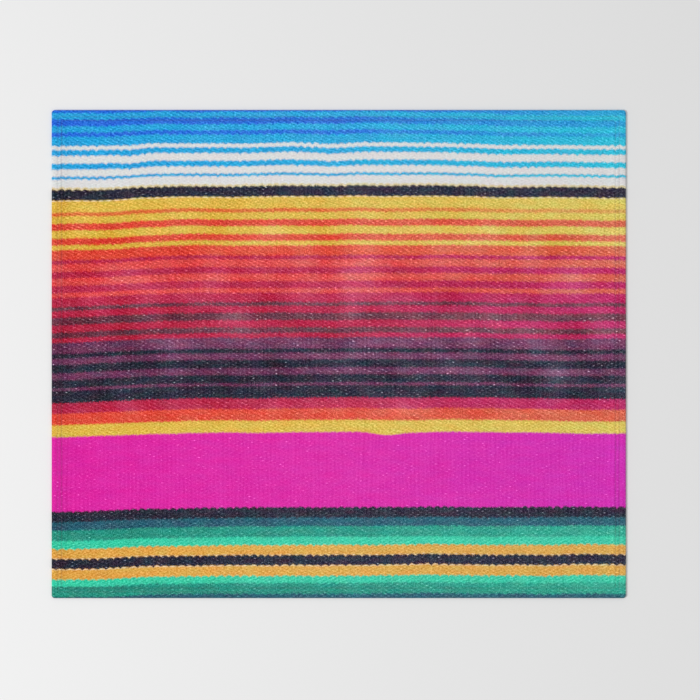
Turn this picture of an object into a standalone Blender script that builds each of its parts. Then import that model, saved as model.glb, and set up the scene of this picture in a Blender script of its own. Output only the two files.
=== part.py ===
"""A serape-striped throw blanket lying flat, hemmed all round.

The panel is one sheet of woven cloth. At each side it rises over the hem,
rolls round the fold and starts back underneath. The four hems are the turned
layers below it: two layers each, mitred where they meet at the corners.

Metres, +Z up. The origin is on the floor under the middle of the panel, +X
runs along the stripes and +Y points to the blue end.
"""

from collections import namedtuple
from math import cos, pi, sin, sqrt

import bmesh
import bpy

# The finished blanket
WIDTH = 1.524               # 60 in, along the stripes
HEIGHT = 1.2954             # 51 in, across the stripes
CORNER_RADIUS = 0.008       # the turned corner, seen from above

# The cloth and how it is turned
CLOTH = 0.0018              # one layer
GAP = 0.0003                # between one layer and the next
FOLD_RADIUS = 0.0029        # outside of the rolled edge
OUTER_ROW = 0.017           # first row of stitching, in from the fold
INNER_ROW = 0.027           # second row, which holds the turned edge
HEM_EDGE = 0.0288           # where the hem's layers start to round off
FLAT_FROM = 0.056           # from here inward the cloth lies on the floor

# How finely the round parts are cut
FOLD_STEPS = 8              # round the rolled edge
CORNER_STEPS = 2            # from a side to its mitre
SIDE_STEPS = 3              # along a straight side
LAYER_EDGE_STEPS = 4        # round the edge of one turned layer
SHARP_ANGLE = pi / 5

# The panel's upper face, from the fold inward. It swells between the fold and
# the outer row, dips at both rows and then comes down to the floor.
Relief = namedtuple("Relief", "inset top")
RELIEF = (
    Relief(inset=FOLD_RADIUS, top=2 * FOLD_RADIUS),
    Relief(inset=0.0060, top=0.0062),
    Relief(inset=0.0100, top=0.0064),
    Relief(inset=0.0140, top=0.0061),
    Relief(inset=OUTER_ROW, top=0.0054),
    Relief(inset=0.0200, top=0.0058),
    Relief(inset=0.0235, top=0.0057),
    Relief(inset=INNER_ROW, top=0.0046),
    Relief(inset=HEM_EDGE, top=0.0047),
    Relief(inset=0.0320, top=0.0045),
    Relief(inset=0.0370, top=0.0036),
    Relief(inset=0.0430, top=0.0025),
    Relief(inset=0.0490, top=0.0020),
    Relief(inset=FLAT_FROM, top=CLOTH),
)

# The sides, anticlockwise: the way each faces, the way it runs, half its
# length, how far out it lies and the cloth's colour there
Side = namedtuple("Side", "name outward along reach breadth colour")
SIDES = (
    Side("hem_right", (1, 0), (0, 1), HEIGHT / 2, WIDTH / 2, (0.57, 0.04, 0.42)),
    Side("hem_top", (0, 1), (-1, 0), WIDTH / 2, HEIGHT / 2, (0.05, 0.36, 0.70)),
    Side("hem_left", (-1, 0), (0, -1), HEIGHT / 2, WIDTH / 2, (0.56, 0.05, 0.30)),
    Side("hem_bottom", (0, -1), (1, 0), WIDTH / 2, HEIGHT / 2, (0.04, 0.15, 0.17)),
)
PANEL_COLOUR = (0.66, 0.05, 0.36)
CLOTH_ROUGHNESS = 0.92


def steps(count):
    """Fractions from 0 to 1, ends included."""
    return [index / count for index in range(count + 1)]


def side_line(side, inset, mitre_gap=0.0):
    """The outline along one side at an inset, as (x, y) from mitre to mitre.

    Each end lies on a corner's mitre, drawn back from it by half the gap.
    """
    straight = side.reach - inset - CORNER_RADIUS
    centre_out = side.breadth - inset - CORNER_RADIUS
    arc = []
    for part in steps(CORNER_STEPS):
        angle = pi / 4 * part
        arc.append((straight + CORNER_RADIUS * sin(angle), centre_out + CORNER_RADIUS * cos(angle)))
    back = mitre_gap / 2 / sqrt(2)
    arc[-1] = (arc[-1][0] - back, arc[-1][1] + back)

    start = [(-along, out) for along, out in reversed(arc)]
    middle = [(straight * (2 * part - 1), arc[0][1]) for part in steps(SIDE_STEPS)[1:-1]]
    line = []
    for along, out in start + middle + arc:
        x = side.outward[0] * out + side.along[0] * along
        y = side.outward[1] * out + side.along[1] * along
        line.append((x, y))
    return line


def ring(inset, height):
    """The blanket's rounded outline at an inset, anticlockwise."""
    points = []
    for side in SIDES:
        points += [(x, y, height) for x, y in side_line(side, inset)[:-1]]
    return points


def fold_arc(radius):
    """The rolled edge as (inset, height), from the underside up to the top."""
    points = []
    for part in steps(FOLD_STEPS):
        angle = pi * (part - 0.5)
        points.append((FOLD_RADIUS - radius * cos(angle), FOLD_RADIUS + radius * sin(angle)))
    return points


def panel_section():
    """The panel's wall as (inset, height), from its top middle round to below."""
    top = [(row.inset, row.top) for row in reversed(RELIEF)]
    outside = list(reversed(fold_arc(FOLD_RADIUS)))
    inside = fold_arc(FOLD_RADIUS - CLOTH)
    under = [(row.inset, row.top - CLOTH) for row in RELIEF]
    return top + outside[1:] + inside + under[1:]


def hem_height(inset):
    """How high the hem's layers reach under the panel at an inset."""
    for before, after in zip(RELIEF, RELIEF[1:]):
        if before.inset <= inset <= after.inset:
            share = (inset - before.inset) / (after.inset - before.inset)
            top = before.top + share * (after.top - before.top)
            return top - CLOTH - GAP
    raise ValueError(f"inset {inset} is outside the hem")


def hem_section():
    """The hem's two layers as a closed (inset, height) outline."""
    start = FOLD_RADIUS + GAP
    layer_radius = hem_height(HEM_EDGE) / 4
    outline = [(start, 0.0)]
    for layer in (0, 1):
        centre = layer_radius * (2 * layer + 1)
        for part in steps(LAYER_EDGE_STEPS)[layer:]:
            angle = pi * (part - 0.5)
            inset = HEM_EDGE + layer_radius * cos(angle)
            outline.append((inset, centre + layer_radius * sin(angle)))
    for row in reversed(RELIEF):
        if start < row.inset < HEM_EDGE:
            outline.append((row.inset, hem_height(row.inset)))
    outline.append((start, hem_height(start)))
    return outline


def cloth_material(name, colour):
    material = bpy.data.materials.new(name)
    material.use_nodes = True
    shader = material.node_tree.nodes["Principled BSDF"]
    shader.inputs["Base Color"].default_value = (*colour, 1.0)
    shader.inputs["Roughness"].default_value = CLOTH_ROUGHNESS
    shader.inputs["Metallic"].default_value = 0.0
    return material


def loft(name, sections, material, collection):
    """A closed solid through closed sections of equal length, capped at both ends."""
    maker = bmesh.new()
    rows = [[maker.verts.new(point) for point in section] for section in sections]
    count = len(rows[0])
    for lower, upper in zip(rows, rows[1:]):
        for index in range(count):
            following = (index + 1) % count
            maker.faces.new((lower[index], lower[following], upper[following], upper[index]))
    maker.faces.new(rows[0])
    maker.faces.new(rows[-1])
    bmesh.ops.recalc_face_normals(maker, faces=maker.faces)

    mesh = bpy.data.meshes.new(name)
    maker.to_mesh(mesh)
    maker.free()
    mesh.shade_smooth()
    mesh.set_sharp_from_angle(angle=SHARP_ANGLE)
    mesh.materials.append(material)
    piece = bpy.data.objects.new(name, mesh)
    collection.objects.link(piece)
    return piece


def build_panel(collection):
    """The sheet itself: rings from its top middle, over the fold, to its underside."""
    rings = [ring(inset, height) for inset, height in panel_section()]
    material = cloth_material("woven cloth, magenta ground", PANEL_COLOUR)
    return loft("panel", rings, material, collection)


def build_hem(side, collection):
    """The turned layers under one side, cut square to it and mitred at the ends."""
    outline = hem_section()
    lines = [side_line(side, inset, GAP) for inset, _ in outline]
    sections = []
    for station in zip(*lines):
        sections.append([(x, y, height) for (x, y), (_, height) in zip(station, outline)])
    material = cloth_material(f"turned cloth, {side.name}", side.colour)
    return loft(side.name, sections, material, collection)


def build():
    for old in list(bpy.data.objects):
        bpy.data.objects.remove(old)
    collection = bpy.data.collections.new("serape throw blanket")
    bpy.context.scene.collection.children.link(collection)
    build_panel(collection)
    for side in SIDES:
        build_hem(side, collection)


build()
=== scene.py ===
# %% [markdown]
# # A serape-striped throw blanket, spread flat
#
# The object is one sheet of woven cloth, 60 by 51 inches, hemmed on all four sides and seen from straight above.
# Nearly everything that the eye meets is colour and weave: fifty-eight weft stripes whose edges wander, dyes that
# drift along each yarn, and pale warp threads that peep through. The relief is small: a swollen hem, two rows of
# stitching pressed into it and a rolled edge. So the mesh is simple and exact, and most of the work is one
# material, built from the way such a cloth is woven and dyed.
#
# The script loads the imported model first. Every later size is read from it or stated in millimetres.

# %% Load the frame
from collections import namedtuple
from math import cos, pi, sin, sqrt

import bmesh
import bpy
import numpy as np
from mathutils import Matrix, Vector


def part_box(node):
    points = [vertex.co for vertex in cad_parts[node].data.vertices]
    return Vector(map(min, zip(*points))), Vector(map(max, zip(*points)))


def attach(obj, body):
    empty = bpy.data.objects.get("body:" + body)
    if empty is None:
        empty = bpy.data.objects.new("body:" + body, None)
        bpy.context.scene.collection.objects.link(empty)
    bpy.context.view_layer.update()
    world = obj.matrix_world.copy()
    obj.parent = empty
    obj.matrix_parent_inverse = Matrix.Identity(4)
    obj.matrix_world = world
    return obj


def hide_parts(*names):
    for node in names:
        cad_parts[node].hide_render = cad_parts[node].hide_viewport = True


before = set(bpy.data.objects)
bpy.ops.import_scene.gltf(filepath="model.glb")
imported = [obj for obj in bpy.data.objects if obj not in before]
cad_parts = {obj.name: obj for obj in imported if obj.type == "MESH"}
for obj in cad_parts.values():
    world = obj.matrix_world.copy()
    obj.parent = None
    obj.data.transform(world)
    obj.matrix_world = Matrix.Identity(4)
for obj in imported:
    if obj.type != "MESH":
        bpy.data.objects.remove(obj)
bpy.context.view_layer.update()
low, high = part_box("panel")
WIDTH = high.x - low.x
HEIGHT = high.y - low.y
MM = 0.001
print("blanket:", round(WIDTH, 4), "by", round(HEIGHT, 4), "m,", round((high.z - low.z) / MM, 1), "mm high")

# %% [markdown]
# ## The camera
#
# The blanket was photographed square on from far above, so its edges stay parallel. A long lens high over the
# floor gives that view, where an orthographic camera would lose the last trace of depth in the rolled edge. The
# picture is 700 pixels wide, and the cloth's middle lies a little left of and below the picture's middle.

# %% Set the camera
PHOTO_SIZE = 700
PIXELS_PER_METRE = 376.6
CLOTH_MIDDLE_X, CLOTH_MIDDLE_Y = 338.8, 354.1
CAMERA_HEIGHT = 8.0
SENSOR = 36.0

camera_data = bpy.data.cameras.new("overhead camera")
camera_data.sensor_width = SENSOR
camera_data.lens = SENSOR * CAMERA_HEIGHT * PIXELS_PER_METRE / PHOTO_SIZE
camera = bpy.data.objects.new("overhead camera", camera_data)
camera.location = (
    (PHOTO_SIZE / 2 - CLOTH_MIDDLE_X) / PIXELS_PER_METRE,
    (CLOTH_MIDDLE_Y - PHOTO_SIZE / 2) / PIXELS_PER_METRE,
    CAMERA_HEIGHT,
)
bpy.context.scene.collection.objects.link(camera)
bpy.context.scene.camera = camera
print("lens:", round(camera_data.lens, 1), "mm")

# %% [markdown]
# ## Colours and nodes
#
# Colours are written as sRGB hex, and one function turns them to the linear
# values that shaders use. One more function adds a node of any kind, with its settings and links, and returns
# the output that the next node needs. It serves shader trees and geometry trees alike.

# %% Two helpers
def linear(hex_colour):
    """An sRGB hex colour as linear red, green and blue."""
    values = []
    for start in (0, 2, 4):
        value = int(hex_colour[start:start + 2], 16) / 255
        values.append(value / 12.92 if value <= 0.04045 else ((value + 0.055) / 1.055) ** 2.4)
    return tuple(values)


def add(tree, kind, inputs=None, output=0, **settings):
    """Add a node. Inputs are values or other nodes' outputs, by name or number."""
    node = tree.nodes.new(kind)
    for name, value in settings.items():
        setattr(node, name, value)
    for socket, value in (inputs or {}).items():
        if isinstance(value, bpy.types.NodeSocket):
            tree.links.new(value, node.inputs[socket])
        else:
            node.inputs[socket].default_value = value
    return node.outputs[output]


print("magenta in linear light:", [round(value, 3) for value in linear("DD33AA")])

# %% [markdown]
# ## Floor and light
#
# The ground is a plain pale grey that falls off gently from the lower left to the upper right. That is what one
# large soft lamp does from the lower left, with even light from all round to fill the shadows. The view transform
# is Standard, which shows a cloth's dyes as they are and doesn't wash them out.

# %% Light the studio
FLOOR_SIZE = 60.0
KEY_PLACE = (-5.2, -1.1, 6.0)
KEY_SIZE = 2.4
KEY_POWER = 352.0
SKY_LIGHT = 0.59

scene = bpy.context.scene
scene.view_settings.view_transform = "Standard"
world = bpy.data.worlds.new("soft studio")
scene.world = world
world.use_nodes = True
world.node_tree.nodes["Background"].inputs["Color"].default_value = (1.0, 1.0, 1.0, 1.0)
world.node_tree.nodes["Background"].inputs["Strength"].default_value = SKY_LIGHT

key_data = bpy.data.lights.new("softbox", "AREA")
key_data.shape = "DISK"
key_data.size = KEY_SIZE
key_data.energy = KEY_POWER
key = bpy.data.objects.new("softbox", key_data)
key.location = KEY_PLACE
aim = camera.location.copy()
aim.z = 0.0
key.rotation_euler = (aim - key.location).to_track_quat("-Z", "Y").to_euler()
scene.collection.objects.link(key)

bpy.ops.mesh.primitive_plane_add(size=FLOOR_SIZE, location=(0.0, 0.0, 0.0))
floor = bpy.context.object
floor.name = "studio_floor"
floor_paint = bpy.data.materials.new("matt studio paper")
floor_paint.use_nodes = True
floor_shader = floor_paint.node_tree.nodes["Principled BSDF"]
floor_shader.inputs["Base Color"].default_value = (0.80, 0.80, 0.80, 1.0)
floor_shader.inputs["Roughness"].default_value = 0.95
floor_shader.inputs["Specular IOR Level"].default_value = 0.0
floor.data.materials.append(floor_paint)
print("softbox at", KEY_PLACE, "with", KEY_POWER, "W")

# %% [markdown]
# ## The yarns
#
# A serape is striped by changing the weft yarn, and the same few yarns return again and again. So the cloth is
# stated as a weaver would: a card of yarns, and a chart that says which yarn comes next and how high its stripe is.
# Each yarn has one dye, picked in coarse steps, so a family of stripes shares it. Towards its right end it may take
# up a second bath, which several yarns share. Its spin says how its surface looks, and the last number is the share
# of its humps that rise to the right.

# %% The baths and the spins
SECOND_BATHS = {
    "turquoise": "33DDDD",
    "lemon": "DDDD77",
    "apricot": "DD8866",
    "rose": "CC3388",
    "violet": "CC33CC",
    "sea": "44CCAA",
}

# contrast is in steps of 255, and row is in millimetres
Spin = namedtuple("Spin", "contrast row narrow humps columns")
SMOOTH = Spin(contrast=3, row=4, narrow=1, humps=1, columns=0)
GLOSSY = Spin(contrast=7, row=4.5, narrow=1, humps=1, columns=0.2)
WOOLLY = Spin(contrast=8, row=5, narrow=2.5, humps=1.2, columns=0.4)
BEATEN = Spin(contrast=10, row=5, narrow=6, humps=1.4, columns=0.7)
GROUND = Spin(contrast=4, row=5, narrow=5, humps=1.4, columns=1)
print(len(SECOND_BATHS), "second baths")

# %% The card of yarns
Yarn = namedtuple("Yarn", "dye bath spin rising")
YARNS = {
    "royal": Yarn("3377DD", "turquoise", GLOSSY, 0.2),
    "sky": Yarn("33AADD", "turquoise", GLOSSY, 0.2),
    "white": Yarn("DDDDDD", None, SMOOTH, 0.5),
    "cream": Yarn("DDCC99", None, SMOOTH, 0.5),
    "black": Yarn("333344", None, BEATEN, 0.5),
    "gold": Yarn("DDBB55", "lemon", GLOSSY, 0.3),
    "orange": Yarn("DD7744", "lemon", GLOSSY, 0.3),
    "vermilion": Yarn("DD5544", "apricot", WOOLLY, 0.3),
    "coral": Yarn("DD5555", "apricot", WOOLLY, 0.3),
    "crimson": Yarn("BB3355", "rose", WOOLLY, 0.3),
    "wine": Yarn("774455", None, BEATEN, 0.3),
    "plum": Yarn("774466", None, BEATEN, 0.3),
    "amber": Yarn("DDAA55", None, GLOSSY, 0.5),
    "magenta": Yarn("DD33AA", "violet", GROUND, 0.5),
    "petrol": Yarn("336677", None, WOOLLY, 0.5),
    "green": Yarn("339988", "sea", WOOLLY, 0.5),
    "mint": Yarn("44CCAA", None, GLOSSY, 0.8),
}
print(len(YARNS), "yarns on the card")

# %% [markdown]
# The chart runs from the blue end down to the green end, with each stripe's height in whole millimetres. Its edges
# were read in the middle of the cloth, where the stripes lie level.

# %% The stripe chart
CHART = (
    # blues
    ("royal", 5), ("sky", 15), ("royal", 17), ("sky", 16), ("royal", 11), ("sky", 24),
    # whites on sky
    ("white", 10), ("sky", 15), ("white", 20), ("sky", 15), ("white", 19), ("sky", 7), ("white", 22),
    ("cream", 5), ("black", 28),
    # golds
    ("gold", 31), ("orange", 10), ("gold", 19), ("vermilion", 18), ("gold", 21), ("vermilion", 18), ("gold", 12),
    # reds, with crimson between
    ("vermilion", 27), ("crimson", 10), ("coral", 21), ("crimson", 17), ("coral", 20), ("crimson", 19),
    ("coral", 12), ("crimson", 25), ("wine", 10), ("crimson", 18), ("wine", 20), ("crimson", 19),
    ("wine", 15), ("crimson", 12),
    # the dark ladder
    ("plum", 29), ("black", 12), ("plum", 17), ("black", 22), ("plum", 18), ("black", 22),
    ("plum", 7), ("black", 33),
    # into the magenta ground
    ("crimson", 28), ("vermilion", 31), ("gold", 32), ("magenta", 199),
    # the green border
    ("black", 28), ("petrol", 23), ("green", 28), ("mint", 22), ("amber", 26), ("black", 27),
    ("amber", 28), ("mint", 19), ("green", 28), ("petrol", 12),
)
chart_height = sum(height for _, height in CHART)
print(len(CHART), "stripes,", chart_height, "mm of", round(HEIGHT / MM, 1))

# %% [markdown]
# ## The woven cloth: where each point lies on the chart
#
# A weft-faced cloth shows hardly anything but its weft, so a stripe is a place along the warp. The material
# therefore asks one question first: how many millimetres below the blue edge was this point woven? The mesh
# carries that as an attribute, the place of each point on the flat cloth, so that the pattern follows the cloth
# round its folded edge. An image could hold the same stripes, but a chart keeps every edge sharp at any distance.

# %% Start the cloth's material
cloth_paint = bpy.data.materials.new("weft-faced serape cloth")
cloth_paint.use_nodes = True
weave = cloth_paint.node_tree
cloth_shader = weave.nodes["Principled BSDF"]

flat_place = add(weave, "ShaderNodeAttribute", output="Vector", attribute_name="flat_place")
flat_axes = add(weave, "ShaderNodeSeparateXYZ", {0: flat_place}).node
across = add(weave, "ShaderNodeMath", {0: flat_axes.outputs["X"], 1: 1 / MM, 2: WIDTH / 2 / MM},
             operation="MULTIPLY_ADD")
down = add(weave, "ShaderNodeMath", {0: flat_axes.outputs["Y"], 1: -1 / MM, 2: HEIGHT / 2 / MM},
           operation="MULTIPLY_ADD")
along_width = add(weave, "ShaderNodeMath", {0: across, 1: WIDTH / MM}, operation="DIVIDE")
along_height = add(weave, "ShaderNodeMath", {0: down, 1: HEIGHT / MM}, operation="DIVIDE")
print("the chart is read in millimetres across and down from the blue left corner")

# %% [markdown]
# ## How the stripes wander
#
# On a loom the weft is beaten down harder in some places than in others, so no stripe is straight. Here the left
# end hangs lower by up to 16 mm and levels out by a third of the way across, most of all in the middle of the
# cloth, and the right end drops a little at the top and rises a little in the green border. Two coarse curves
# for each end say this: one along the stripe, one down the cloth. Soft noise adds the small waves between.

# %% Let the stripes wander
LEFT_DROOP = 16.0
RIGHT_DROOP = 9.0
SMALL_WAVES = 8.0


def draw_curve(socket, points):
    """Give a Float Curve node its points, from 0 to 1 both ways, and return its output."""
    curve = socket.node.mapping.curves[0]
    for index, (place, value) in enumerate(points):
        if index < len(curve.points):
            curve.points[index].location = (place, value)
        else:
            curve.points.new(place, value)
    socket.node.mapping.update()
    return socket


left_shape = draw_curve(
    add(weave, "ShaderNodeFloatCurve", {"Value": along_width}),
    ((0.0, 1.0), (0.1, 0.7), (0.2, 0.2), (0.4, 0.0), (1.0, 0.0)),
)
left_reach = draw_curve(
    add(weave, "ShaderNodeFloatCurve", {"Value": along_height}),
    ((0.0, 0.2), (0.2, 0.8), (0.6, 0.9), (1.0, 0.6)),
)
right_shape = draw_curve(
    add(weave, "ShaderNodeFloatCurve", {"Value": along_width}),
    ((0.0, 0.0), (0.7, 0.0), (0.8, 0.7), (1.0, 1.0)),
)
right_reach = draw_curve(
    add(weave, "ShaderNodeFloatCurve", {"Value": along_height}),
    ((0.0, 1.0), (0.2, 0.7), (0.6, 0.7), (0.9, 0.4), (1.0, 0.5)),
)
left_part = add(weave, "ShaderNodeMath", {0: left_shape, 1: left_reach}, operation="MULTIPLY")
right_signed = add(weave, "ShaderNodeMath", {0: right_reach, 1: 2.0, 2: -1.0}, operation="MULTIPLY_ADD")
right_part = add(weave, "ShaderNodeMath", {0: right_shape, 1: right_signed}, operation="MULTIPLY")

wave_place = add(weave, "ShaderNodeVectorMath", {0: flat_place, 1: (1 / 0.17, 1 / 0.40, 0.0)}, operation="MULTIPLY")
wave_noise = add(weave, "ShaderNodeTexNoise", {"Vector": wave_place, "Scale": 1.0, "Detail": 2.0},
                 noise_dimensions="2D")
waves = add(weave, "ShaderNodeMath", {0: wave_noise, 1: SMALL_WAVES, 2: -SMALL_WAVES / 2}, operation="MULTIPLY_ADD")
with_left = add(weave, "ShaderNodeMath", {0: left_part, 1: LEFT_DROOP, 2: waves}, operation="MULTIPLY_ADD")
wander = add(weave, "ShaderNodeMath", {0: right_part, 1: RIGHT_DROOP, 2: with_left}, operation="MULTIPLY_ADD")
print("the left end hangs", LEFT_DROOP, "mm lower at most")

# %% [markdown]
# ## Pulled places
#
# Here and there a yarn was caught or beaten too hard. The plainest is a sag in the gold stripe above magenta, and
# two steps show in the white stripes. Each is a soft bump in the same wander, with its own place, reach and depth
# in millimetres, so the stripe's colours bend with it.

# %% Pull a few yarns out of line
Spot = namedtuple("Spot", "across down reach_across reach_down depth")
PULLS = (
    Spot(across=890, down=855, reach_across=40, reach_down=15, depth=10),
    Spot(across=760, down=110, reach_across=60, reach_down=60, depth=3),
    Spot(across=210, down=130, reach_across=30, reach_down=40, depth=5),
)


def soft_spot(spot):
    """One at the middle of a spot, falling off like a bell to its reach and beyond."""
    offset = add(weave, "ShaderNodeCombineXYZ", {
        0: add(weave, "ShaderNodeMath", {0: across, 1: -spot.across}, operation="ADD"),
        1: add(weave, "ShaderNodeMath", {0: down, 1: -spot.down}, operation="ADD"),
    })
    away = add(weave, "ShaderNodeVectorMath", {0: offset, 1: (1 / spot.reach_across, 1 / spot.reach_down, 0.0)},
               operation="MULTIPLY")
    squared = add(weave, "ShaderNodeVectorMath", {0: away, 1: away}, output="Value", operation="DOT_PRODUCT")
    fading = add(weave, "ShaderNodeMath", {0: squared, 1: -1.0}, operation="MULTIPLY")
    return add(weave, "ShaderNodeMath", {0: fading}, operation="EXPONENT")


for pull in PULLS:
    wander = add(weave, "ShaderNodeMath", {0: soft_spot(pull), 1: pull.depth, 2: wander}, operation="MULTIPLY_ADD")
print(len(PULLS), "pulled places")

# %% [markdown]
# ## The toothed edges
#
# Where two colours meet, the new yarn dips under every warp bundle and swells between, so the edge is a row of
# small rounded teeth, one to each bundle, 21 mm apart. The arches of a sine wave's absolute value have that shape:
# round above, sharp below. They are tall where black or white meets a colour and low among the reds, so a third
# curve down the cloth sets their height. The bundles don't stand quite straight, so slow noise slips them sideways.

# %% Cut the teeth
BUNDLE_PITCH = 21.2
BUNDLE_SLIP = 13.0
TOOTH_HEIGHT = 3.4
TOOTH_UNEVEN = 2.4

slip_place = add(weave, "ShaderNodeVectorMath", {0: flat_place, 1: (1 / 0.06, 1 / 0.15, 0.0)},
                 operation="MULTIPLY")
slip_noise = add(weave, "ShaderNodeTexNoise", {"Vector": slip_place, "Scale": 1.0, "Detail": 1.0},
                 noise_dimensions="2D")
slipped = add(weave, "ShaderNodeMath", {0: slip_noise, 1: BUNDLE_SLIP, 2: across}, operation="MULTIPLY_ADD")
tooth_turn = add(weave, "ShaderNodeMath", {0: slipped, 1: pi / BUNDLE_PITCH}, operation="MULTIPLY")
arches = add(weave, "ShaderNodeMath", {0: add(weave, "ShaderNodeMath", {0: tooth_turn}, operation="SINE")},
             operation="ABSOLUTE")
arches_about_mean = add(weave, "ShaderNodeMath", {0: arches, 1: -2 / pi}, operation="ADD")

tooth_reach = draw_curve(
    add(weave, "ShaderNodeFloatCurve", {"Value": along_height}),
    ((0.0, 0.6), (0.1, 0.9), (0.2, 0.5), (0.7, 0.3), (0.8, 1.0), (0.86, 0.3), (0.9, 1.0), (0.95, 0.9),
     (1.0, 0.3)),
)
tooth_noise = add(weave, "ShaderNodeTexNoise", {"Vector": flat_place, "Scale": 1 / 0.03, "Detail": 0.0},
                  noise_dimensions="2D")
tooth_luck = add(weave, "ShaderNodeMath", {0: tooth_noise, 1: TOOTH_UNEVEN, 2: 1 - TOOTH_UNEVEN / 2},
                 operation="MULTIPLY_ADD")
tooth_tall = add(weave, "ShaderNodeMath", {0: tooth_reach, 1: tooth_luck}, operation="MULTIPLY")
tooth = add(weave, "ShaderNodeMath", {
    0: arches_about_mean,
    1: add(weave, "ShaderNodeMath", {0: tooth_tall, 1: TOOTH_HEIGHT}, operation="MULTIPLY"),
}, operation="MULTIPLY")
print("teeth every", BUNDLE_PITCH, "mm, up to", TOOTH_HEIGHT, "mm high")

# %% [markdown]
# The yarn itself is soft and hairy, so no edge is a clean line. Very fine noise, a millimetre across, blurs every
# edge a little. Coarser noise, of the size of one pick, breaks up the edges among the reds, the dark ladder, the
# blues and the greens, where the weft was beaten unevenly, and leaves those of white, amber and magenta smooth.

# %% Roughen the edges
HAIR_SIZE, HAIR_REACH = 0.0012, 9.0
PICK_SIZE, PICK_REACH = 0.0032, 12.0

roughness_reach = draw_curve(
    add(weave, "ShaderNodeFloatCurve", {"Value": along_height}),
    ((0.0, 0.8), (0.1, 0.4), (0.2, 0.5), (0.3, 1.0), (0.6, 1.0), (0.7, 0.3), (0.8, 0.3), (0.85, 0.9), (0.9, 0.3),
     (0.95, 0.4), (1.0, 0.9)),
)
hair_noise = add(weave, "ShaderNodeTexNoise", {"Vector": flat_place, "Scale": 1 / HAIR_SIZE, "Detail": 0.0},
                 noise_dimensions="2D")
hair = add(weave, "ShaderNodeMath", {0: hair_noise, 1: HAIR_REACH, 2: -HAIR_REACH / 2}, operation="MULTIPLY_ADD")
pick_noise = add(weave, "ShaderNodeTexNoise", {"Vector": flat_place, "Scale": 1 / PICK_SIZE, "Detail": 1.0},
                 noise_dimensions="2D")
pick_rough = add(weave, "ShaderNodeMath", {0: pick_noise, 1: PICK_REACH, 2: -PICK_REACH / 2},
                 operation="MULTIPLY_ADD")
fuzz = add(weave, "ShaderNodeMath", {0: pick_rough, 1: roughness_reach, 2: hair}, operation="MULTIPLY_ADD")
print("edges roughened by noise of", round(HAIR_SIZE / MM, 1), "and", round(PICK_SIZE / MM, 1), "mm")

# %% [markdown]
# ## Reading the chart
#
# The place on the chart is the distance from the blue edge, less the wander, plus the teeth. Past either edge the
# cloth is turned under, and there the chart runs back on itself, so the hems are striped too. A Color Ramp could
# hold the stripes, but Cycles keeps a ramp as 256 samples, which would round every edge to 5 mm. So the shader
# counts how many stripe edges lie above the point, one comparison for each. The count is exact at any distance.
# Constant ramps then turn the stripe's number into a yarn's, and the yarn's number into its dyes and habits.

# %% Count the stripe edges
TURN_MARGIN = 12.0

unwandered = add(weave, "ShaderNodeMath", {0: down, 1: wander}, operation="SUBTRACT")
toothed = add(weave, "ShaderNodeMath", {0: unwandered, 1: tooth}, operation="ADD")
woven_at = add(weave, "ShaderNodeMath", {0: toothed, 1: fuzz}, operation="ADD")
with_margin = add(weave, "ShaderNodeMath", {0: woven_at, 1: TURN_MARGIN}, operation="ADD")
turned_back = add(weave, "ShaderNodeMath", {0: with_margin, 1: HEIGHT / MM + 2 * TURN_MARGIN},
                  operation="PINGPONG")
chart_place = add(weave, "ShaderNodeMath", {0: turned_back, 1: -TURN_MARGIN}, operation="ADD")

stripe = 0.0
stripe_edge = 0.0
for _, stripe_height in CHART[:-1]:
    stripe_edge += stripe_height * HEIGHT / MM / chart_height
    passed = add(weave, "ShaderNodeMath", {0: chart_place, 1: stripe_edge}, operation="GREATER_THAN")
    stripe = add(weave, "ShaderNodeMath", {0: stripe, 1: passed}, operation="ADD")
print("counted", len(CHART) - 1, "stripe edges")


# %% Look up the yarn and its habits
def look_up(number, values):
    """A constant Color Ramp that gives values[number], for up to 32 values of red, green, blue and alpha."""
    socket = add(weave, "ShaderNodeValToRGB", {
        "Fac": add(weave, "ShaderNodeMath", {0: number, 1: 1 / len(values), 2: 0.5 / len(values)},
                   operation="MULTIPLY_ADD"),
    })
    ramp = socket.node.color_ramp
    ramp.interpolation = "CONSTANT"
    for index, value in enumerate(values):
        place = index / len(values)
        step = ramp.elements[index] if index < 2 else ramp.elements.new(place)
        step.position = place
        step.color = value
    return socket


def look_up_long(number, values):
    """The same for up to 64 values, from two ramps."""
    half = len(values) // 2
    in_lower_half = add(weave, "ShaderNodeMath", {0: number, 1: half - 0.5}, operation="GREATER_THAN")
    lower_number = add(weave, "ShaderNodeMath", {0: number, 1: -half}, operation="ADD")
    upper = look_up(number, values[:half])
    lower = look_up(lower_number, values[half:])
    return add(weave, "ShaderNodeMix", {0: in_lower_half, 2: upper, 3: lower}, data_type="FLOAT")


yarns = list(YARNS.values())
yarn_names = list(YARNS)
yarn_share = look_up_long(stripe, [(yarn_names.index(name) / len(yarns),) * 3 + (1.0,) for name, _ in CHART])
yarn_number = add(weave, "ShaderNodeMath", {0: yarn_share, 1: len(yarns)}, operation="MULTIPLY")

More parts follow.
